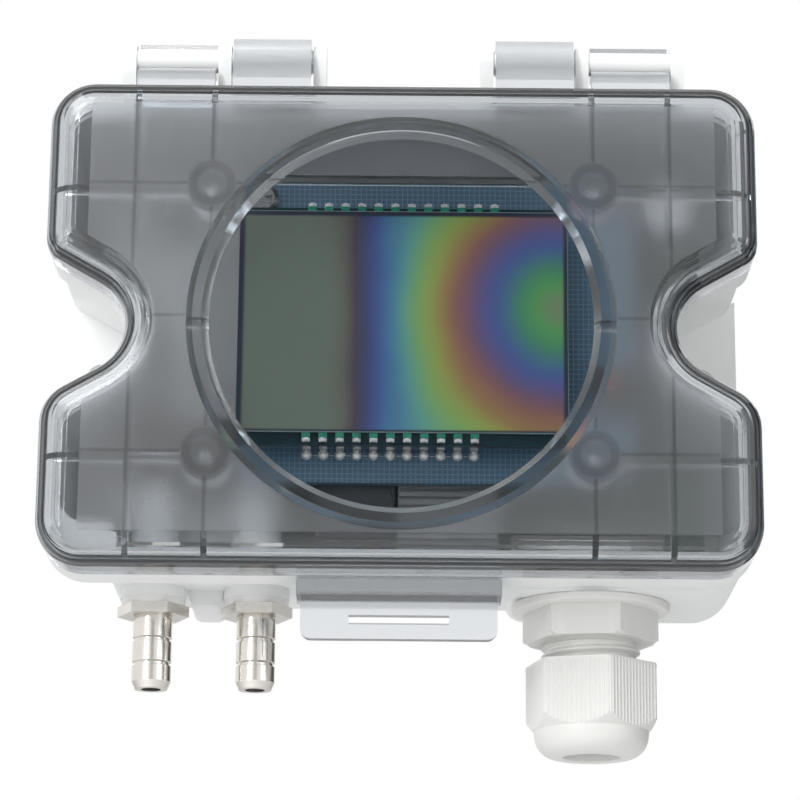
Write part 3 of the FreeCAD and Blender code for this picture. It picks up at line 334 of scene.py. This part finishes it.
def make_materials():
    """One material a slot, given to each CAD node by the slot that the record names."""
    slots = {
        "housing_white": moulded("housing_white", (0.80, 0.81, 0.81), 0.38, shade=0.03),
        "cover_smoky": smoky_cover(),
        "mask_grey": moulded("mask_grey", (0.17, 0.18, 0.19), 0.5),
        "gasket_black": moulded("gasket_black", (0.03, 0.03, 0.03), 0.6),
        "board_blue": circuit_board("board_blue", (0.075, 0.155, 0.23), 0.8),
        "board_green": circuit_board("board_green", (0.03, 0.075, 0.055), 0.9, pale_left=-24.0),
        "display_grey": display_face(),
        "backlight_white": moulded("backlight_white", (0.72, 0.74, 0.75), 0.4),
        "pin_steel": metal("pin_steel", (0.94, 0.94, 0.95), 0.3, shine=0.45),
        "standoff_brass": metal("standoff_brass", (0.72, 0.60, 0.36)),
        "screw_steel": metal("screw_steel", (0.34, 0.34, 0.35)),
        "terminal_grey": moulded("terminal_grey", (0.20, 0.21, 0.22), 0.45),
        "black_plastic": moulded("black_plastic", (0.032, 0.038, 0.046), 0.42),
        "capacitor_aluminium": metal("capacitor_aluminium", (0.80, 0.81, 0.83), 0.3),
        "sensor_black": moulded("sensor_black", (0.03, 0.03, 0.034), 0.4),
        "nozzle_nickel": metal("nozzle_nickel", (0.80, 0.77, 0.72), 0.2),
        "washer_white": moulded("washer_white", (0.78, 0.78, 0.77), 0.3),
        "hose_silicone": moulded("hose_silicone", (0.74, 0.76, 0.77), 0.35),
        "gland_grey": moulded("gland_grey", (0.73, 0.73, 0.71), 0.36, grain=1500.0),
        "seal_black": moulded("seal_black", (0.035, 0.035, 0.035), 0.6),
        "button_red": moulded("button_red", (0.14, 0.035, 0.03), 0.35),
    }
    for part in frame["record"]["subparts"]:
        data = nodes[part["node"]].data
        data.materials.clear()
        data.materials.append(slots[part["material_slot"]].material)
    return slots


# ---------------------------------------------------------------- mesh helpers

def add_mesh(name, points, faces, shader, body, smooth=True):
    """A piece from points in millimetres, riding on a body."""
    mesh = bpy.data.meshes.new(name)
    mesh.from_pydata([tuple(value * MM for value in point) for point in points], [], faces)
    mesh.validate()
    mesh.materials.append(shader.material)
    mesh.polygons.foreach_set("use_smooth", [smooth] * len(mesh.polygons))
    piece = bpy.data.objects.new(name, mesh)
    scene.collection.objects.link(piece)
    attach(piece, body)
    return piece


def lathe(name, rows, steps, place, shader, body, sharp=35.0):
    """A closed form turned about a vertical axis at `place`; each row is (z, radius at an angle)."""
    points, faces = [], []
    for z, radius in rows:
        for step in range(steps):
            angle = 2 * math.pi * step / steps
            r = radius(angle)
            points.append((place[0] + r * math.sin(angle), place[1] - r * math.cos(angle), z))
    count = len(rows)
    for row in range(count):
        after = (row + 1) % count
        for step in range(steps):
            beside = (step + 1) % steps
            faces.append((row * steps + step, row * steps + beside, after * steps + beside, after * steps + step))
    piece = add_mesh(name, points, faces, shader, body)
    piece.data.set_sharp_from_angle(angle=math.radians(sharp))
    return piece


def round_row(z, radius):
    return z, lambda angle: radius


def flats(across, turned):
    """The radius of a hexagon at an angle from the front; `turned` is where a corner lies, in degrees."""
    def radius(angle):
        part = (angle - math.radians(turned)) % (math.pi / 3) - math.pi / 6
        return across / 2 / math.cos(part)
    return radius


# ---------------------------------------------------------------- cable gland

def gland_details(shader):
    """The gland's threaded body and its ribbed nut, turned about the same axis."""
    low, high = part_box("gland_body")
    place = ((low.x + high.x) * 500, (low.y + high.y) * 500)
    threaded_body(shader, place, high.z * 1000)
    ribbed_nut(shader, place)


def threaded_body(shader, place, top):
    """The gland's body: stud, flange, hexagon with bevelled corners, thread and bore."""
    seat, thread_radius, bore = -37.3, 7.55, 5.5
    flange, crown, across, turned = 12.12, 10.05, 18.0, 22.0
    pitch, depth, slope, root, clear = 1.5, 0.62, 1.7, 0.35, 0.35
    start, end, count = seat - 5.9, seat - 15.1, 96
    hexagon = flats(across, turned)

    def within(limit):
        """The hexagon with its corners turned down to a radius."""
        return lambda angle: min(hexagon(angle), limit)

    rows = [round_row(top, thread_radius), round_row(seat, thread_radius), round_row(seat, 11.95)]
    rows += [round_row(seat - 0.15, flange), round_row(seat - 0.75, flange), round_row(seat - 1.1, 11.9)]
    rows += [round_row(seat - 1.2, 11.6), (seat - 1.2, within(crown + 0.33))]
    rows += [(seat - 5.5, within(crown + 0.33)), (start, within(crown - 0.45))]
    for number in range(count + 1):
        height = start + (end - start) * number / count

        def thread(angle, height=height):
            turn = (-height / pitch + angle / (2 * math.pi)) % 1.0
            ridge = abs(turn - 0.5) * 2
            runout = min(1.0, max(0.0, (start - clear - height) / 0.4))
            return thread_radius - depth * (1 - runout * min(1.0, max(0.0, ridge * slope - root)))
        rows.append((height, thread))
    rows += [round_row(end, bore), round_row(top, bore)]
    body = lathe("gland_body_threaded", rows, 180, place, shader, "housing")
    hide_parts("gland_body")


def ribbed_nut(shader, place):
    """The gland's dome nut: a hexagon with fine ribs down its flats, and a hollow dome below."""
    top, across, turned, corner = -46.5, 17.93, 13.5, 10.35
    rib, rib_depth, dome, mouth = 0.72, 0.20, 8.73, 5.45
    dome_start, dome_turn, dome_end = 8.0, 10.2, 14.2
    outline = flats(across, turned)

    def shoulder(height):
        """The radius of the nut's turned form, `height` below its top."""
        if height < 0.5:
            return corner - (0.5 - height) * 0.5
        if height < dome_start:
            return corner
        if height < dome_turn:
            part = (height - dome_start) / 2.2
            return corner - (corner - dome) * part ** 1.25
        part = min(1.0, (height - dome_turn) / 4.0)
        return dome - (dome - mouth) * (1 - math.sqrt(max(0.0, 1 - part ** 2.3)))

    def ribbed(height):
        limit = shoulder(height)

        def radius(angle):
            part = (angle - math.radians(turned)) % (math.pi / 3) - math.pi / 6
            side = across / 2 * math.tan(part)
            groove = 0.5 + 0.5 * math.cos(2 * math.pi * side / rib)
            cut = rib_depth * groove ** 0.8 * min(1.0, height)
            return min(min(outline(angle), corner) - cut, limit)
        return radius

    neck, seat, bore = 7.7, 5.8, 4.25
    rows = [round_row(top, neck), (top, ribbed(0.0))]
    heights = [0.25 * number for number in range(1, 28)] + [7.0 + 0.1 * number for number in range(72)]
    rows += [(top - height, ribbed(height)) for height in heights]
    rows += [round_row(top - dome_end, 5.3), round_row(top - dome_end, 4.5), round_row(top - 13.95, bore)]
    rows += [round_row(top - 11.8, bore), round_row(top - 11.8, seat), round_row(top - 6.5, seat)]
    rows += [round_row(top - 6.3, neck)]
    nut = lathe("gland_nut_ribbed", rows, 648, place, shader, "gland_nut", sharp=50.0)
    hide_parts("gland_dome_nut")


# ---------------------------------------------------------------- display details

def box_points(low, high):
    (a, b, c), (p, q, r) = low, high
    return [(a, b, c), (p, b, c), (p, q, c), (a, q, c), (a, b, r), (p, b, r), (p, q, r), (a, q, r)]


BOX_FACES = [(0, 3, 2, 1), (4, 5, 6, 7), (0, 1, 5, 4), (1, 2, 6, 5), (2, 3, 7, 6), (3, 0, 4, 7)]


def boxes(name, spans, shader, body, bevel=0.0):
    """Several boxes as one piece, each given by its low and high corner in millimetres."""
    points, faces = [], []
    for low, high in spans:
        first = len(points)
        points += box_points(low, high)
        faces += [tuple(first + index for index in face) for face in BOX_FACES]
    piece = add_mesh(name, points, faces, shader, body, smooth=False)
    if bevel:
        modifier = piece.modifiers.new("bevel", "BEVEL")
        modifier.width = bevel * MM
        modifier.segments = 2
    return piece


def beads(name, centres, radius, shader, body):
    """Rounded beads of solder as one piece."""
    points, faces = [], []
    rings, steps = 8, 14
    for x, y, z in centres:
        first = len(points)
        points.append((x, y - radius, z))
        for ring in range(1, rings):
            polar = math.pi * ring / rings
            for step in range(steps):
                angle = 2 * math.pi * step / steps
                points.append((x + radius * math.sin(polar) * math.cos(angle), y - radius * math.cos(polar),
                               z + radius * math.sin(polar) * math.sin(angle)))
        points.append((x, y + radius, z))
        last = len(points) - 1
        for step in range(steps):
            beside = (step + 1) % steps
            faces.append((first, first + 1 + step, first + 1 + beside))
            for ring in range(rings - 2):
                row = first + 1 + ring * steps
                faces.append((row + step, row + steps + step, row + steps + beside, row + beside))
            row = first + 1 + (rings - 2) * steps
            faces.append((last, row + beside, row + step))
    return add_mesh(name, points, faces, shader, body)


def plain_paint(name, colour, roughness):
    shader = Shader(name, Roughness=roughness)
    shader.put("Base Color", colour)
    return shader


def display_details(slots):
    """The display's ledges, dark with painted shadow, and its edges, pale with painted highlights; its two rows of
    soldered pins, and the print on its board.
    """
    low, high = (corner * 1000 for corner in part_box("display_glass"))
    board_low, board_high = (corner * 1000 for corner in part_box("display_board"))
    front = board_low.y
    middle = (low.x + high.x) / 2
    gap, edge_front, edge_back = 0.02, low.y + 0.05, low.y + 0.4
    ledge_front, ledge_back = low.y + 0.9, low.y + 2.1
    # painted shadow: the ledges below and above the glass are coloured near black for the shade under the
    # display's glass
    boxes("display_ledge_shadow", [
        ((low.x + 0.2, ledge_front, low.z - 1.9), (high.x - 0.3, ledge_back, low.z - gap)),
        ((low.x + 0.2, ledge_front, high.z + gap), (high.x - 0.3, ledge_back, high.z + 0.85)),
    ], plain_paint("display_ledge_shadow", (0.012, 0.045, 0.055), 0.08), "housing")
    # painted highlight: thin pale strips along the glass's lower, upper and right edges stand in for light caught
    # in the glass
    boxes("display_edge_highlights", [
        ((low.x + 0.1, edge_front, low.z - 0.14), (high.x - 0.1, edge_back, low.z - gap)),
        ((low.x + 0.1, edge_front, high.z + gap), (high.x - 0.1, edge_back, high.z + 0.12)),
        ((high.x + gap, edge_front, low.z), (high.x + 0.12, edge_back, high.z)),
    ], plain_paint("glass_edge_highlight", (0.30, 0.40, 0.40), 0.2), "housing")

    upper = [middle + (number - 5.5) * PIN_PITCH for number in range(UPPER_PINS)]
    lower = [middle + (number - 5.67) * PIN_PITCH for number in range(LOWER_PINS)]
    glue_half, glue_front, glue_back = 0.66, low.y + 0.25, low.y + 0.9
    glue = [((x - glue_half, glue_front, high.z + 0.05), (x + glue_half, glue_back, high.z + 0.95)) for x in upper]
    glue += [((x - glue_half, glue_front, low.z - 0.95), (x + glue_half, glue_back, low.z - 0.1)) for x in lower]
    green = plain_paint("pin_glue", (0.03, 0.30, 0.20), 0.25)
    boxes("pin_glue", glue, green, "housing", bevel=0.15)
    solder = metal("solder", (0.90, 0.90, 0.88), 0.24, streak=(700.0, 700.0, 700.0), shine=0.5)
    row_below, row_above = low.z - 2.3, high.z + 2.15
    beads("solder_beads", [(x, front - 0.4, row_below) for x in lower], 0.84, solder, "housing")
    beads("solder_beads_upper", [(x, front - 0.2, row_above) for x in upper], 0.42, solder, "housing")
    cap_half, cap_front, cap_back = 0.34, low.y + 0.2, low.y + 0.85
    caps = [((x - cap_half, cap_front, high.z + 0.95), (x + cap_half, cap_back, high.z + 1.5)) for x in upper]
    caps += [((x - cap_half, cap_front, low.z - 1.5), (x + cap_half, cap_back, low.z - 0.95)) for x in lower]
    boxes("pin_caps", caps, slots["pin_steel"], "housing", bevel=0.12)

    ink = front - 0.05
    dashes = [((x + 0.95, ink, low.z - 2.36), (x + 1.6, front, low.z - 2.24)) for x in lower[:-1]]
    boxes("board_print", dashes + [
        ((high.x - 7.4, ink, high.z + 1.05), (high.x - 1.6, front, high.z + 1.2)),
        ((low.x + 3.0, ink, board_high.z - 0.35), (high.x - 2.0, front, board_high.z - 0.2)),
    ], plain_paint("print_white", (0.72, 0.76, 0.78), 0.5), "housing")


def window_band(shader):
    """The grey band behind the top of the window: a slice of a disc a little wider than the ring's foot."""
    radius, low, front, back, steps = 31.0, 23.0, -37.79, -37.4, 64
    limit = math.acos(low / radius)
    turns = [limit * (2 * number / steps - 1) for number in range(steps + 1)]
    arc = [(radius * math.sin(turn), radius * math.cos(turn)) for turn in turns]
    count = len(arc)
    points = [(x, front, z) for x, z in arc] + [(x, back, z) for x, z in arc]
    faces = [tuple(range(count)), tuple(range(2 * count - 1, count - 1, -1))]
    for number in range(count):
        after = (number + 1) % count
        faces.append((number, number + count, after + count, after))
    band = add_mesh("window_band", points, faces, shader, "cover", smooth=False)
    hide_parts("window_mask")


def wiring_blocks(slots):
    """The power converter and the ridged terminal block, seen below the display board."""
    top, front = -19.4, -20.0  # both blocks end just behind the display board's lower edge
    low, high = (corner * 1000 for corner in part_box("power_converter"))
    panel, inset = -19.6, 0.5
    core = [((low.x, panel, low.z), (high.x, high.y, top)),
            ((low.x + inset, front, low.z + inset), (high.x - inset, panel, top - inset))]
    block = boxes("power_block", core, slots["black_plastic"], "housing", bevel=0.2)
    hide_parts("power_converter")
    low, high = (corner * 1000 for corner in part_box("terminal_block"))
    root, count, pitch, width = -19.5, 8, 1.32, 0.92
    spans = [((low.x, root, low.z), (high.x, high.y, top))]
    for number in range(count):
        foot = low.z + 0.1 + number * pitch
        spans.append(((low.x + 0.1, low.y, foot), (high.x - 0.1, root, foot + width)))
    terminals = boxes("terminal_ridges", spans, slots["terminal_grey"], "housing", bevel=0.12)
    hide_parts("terminal_block")


# ---------------------------------------------------------------- light and stage

def softbox(name, place, aim, width, height, power):
    """An area lamp, in metres and watts, that faces a point."""
    lamp = bpy.data.lights.new(name, "AREA")
    lamp.shape = "RECTANGLE"
    lamp.size, lamp.size_y, lamp.energy = width, height, power
    light = bpy.data.objects.new(name, lamp)
    light.location = place
    light.rotation_euler = (Vector(aim) - Vector(place)).to_track_quat("-Z", "Y").to_euler()
    scene.collection.objects.link(light)


def card(name, corner, side, rise, shader):
    """A flat card off to the side, from one corner along two of its sides, for surfaces to reflect."""
    corner, side, rise = Vector(corner), Vector(side), Vector(rise)
    mesh = bpy.data.meshes.new(name)
    mesh.from_pydata([corner, corner + side, corner + side + rise, corner + rise], [], [(0, 1, 2, 3)])
    mesh.materials.append(shader.material)
    piece = bpy.data.objects.new(name, mesh)
    scene.collection.objects.link(piece)


def make_world():
    """White to the camera and in reflections, and lower where it lights the object."""
    world = bpy.data.worlds.new("studio")
    scene.world = world
    world.use_nodes = True
    tree = world.node_tree
    background = tree.nodes["Background"]
    path = tree.nodes.new("ShaderNodeLightPath")
    seen = path.outputs["Is Camera Ray"]
    for ray in ("Is Glossy Ray", "Is Transmission Ray"):
        either = tree.nodes.new("ShaderNodeMath")
        either.operation = "MAXIMUM"
        tree.links.new(seen, either.inputs[0])
        tree.links.new(path.outputs[ray], either.inputs[1])
        seen = either.outputs[0]
    strength = tree.nodes.new("ShaderNodeMapRange")
    tree.links.new(seen, strength.inputs["Value"])
    strength.inputs["To Min"].default_value = 0.62
    strength.inputs["To Max"].default_value = 1.0
    tree.links.new(strength.outputs[0], background.inputs["Strength"])
    background.inputs["Color"].default_value = (1.0, 1.0, 1.0, 1.0)


def make_stage():
    """A pale floor, two dark cards that polished surfaces reflect, and soft lamps."""
    make_world()
    size, height = 3.0, -0.32
    pale = plain_paint("floor_pale", (0.86, 0.86, 0.86), 0.8)
    mesh = bpy.data.meshes.new("floor")
    mesh.from_pydata([(-size, -size, height), (size, -size, height), (size, size, height), (-size, size, height)],
                     [], [(0, 1, 2, 3)])
    mesh.materials.append(pale.material)
    floor = bpy.data.objects.new("floor", mesh)
    scene.collection.objects.link(floor)

    dark = plain_paint("card_dark", (0.07, 0.07, 0.075), 0.7)
    card("card_front", (-0.085, -0.50, 0.045), (0.17, 0.0, 0.0), (0.0, 0.02, 0.19), dark)
    card("card_right", (0.165, -0.04, -0.09), (0.0, 0.30, 0.0), (0.0, 0.0, 0.20), dark)

    softbox("key", (-0.45, -0.75, 0.75), (0, 0, 0), 0.7, 0.7, 9.0)
    softbox("fill", (0.75, -0.65, 0.15), (0, 0, 0), 0.5, 0.8, 1.3)
    softbox("under", (-0.1, -0.5, -0.6), (0, 0, -0.02), 0.8, 0.4, 2.3)
    softbox("strip", (-0.36, -0.58, 0.13), (0, 0, -0.05), 0.10, 0.34, 1.5)


make_camera()
slots = make_materials()
gland_details(slots["gland_grey"])
display_details(slots)
window_band(slots["mask_grey"])
wiring_blocks(slots)
make_stage()
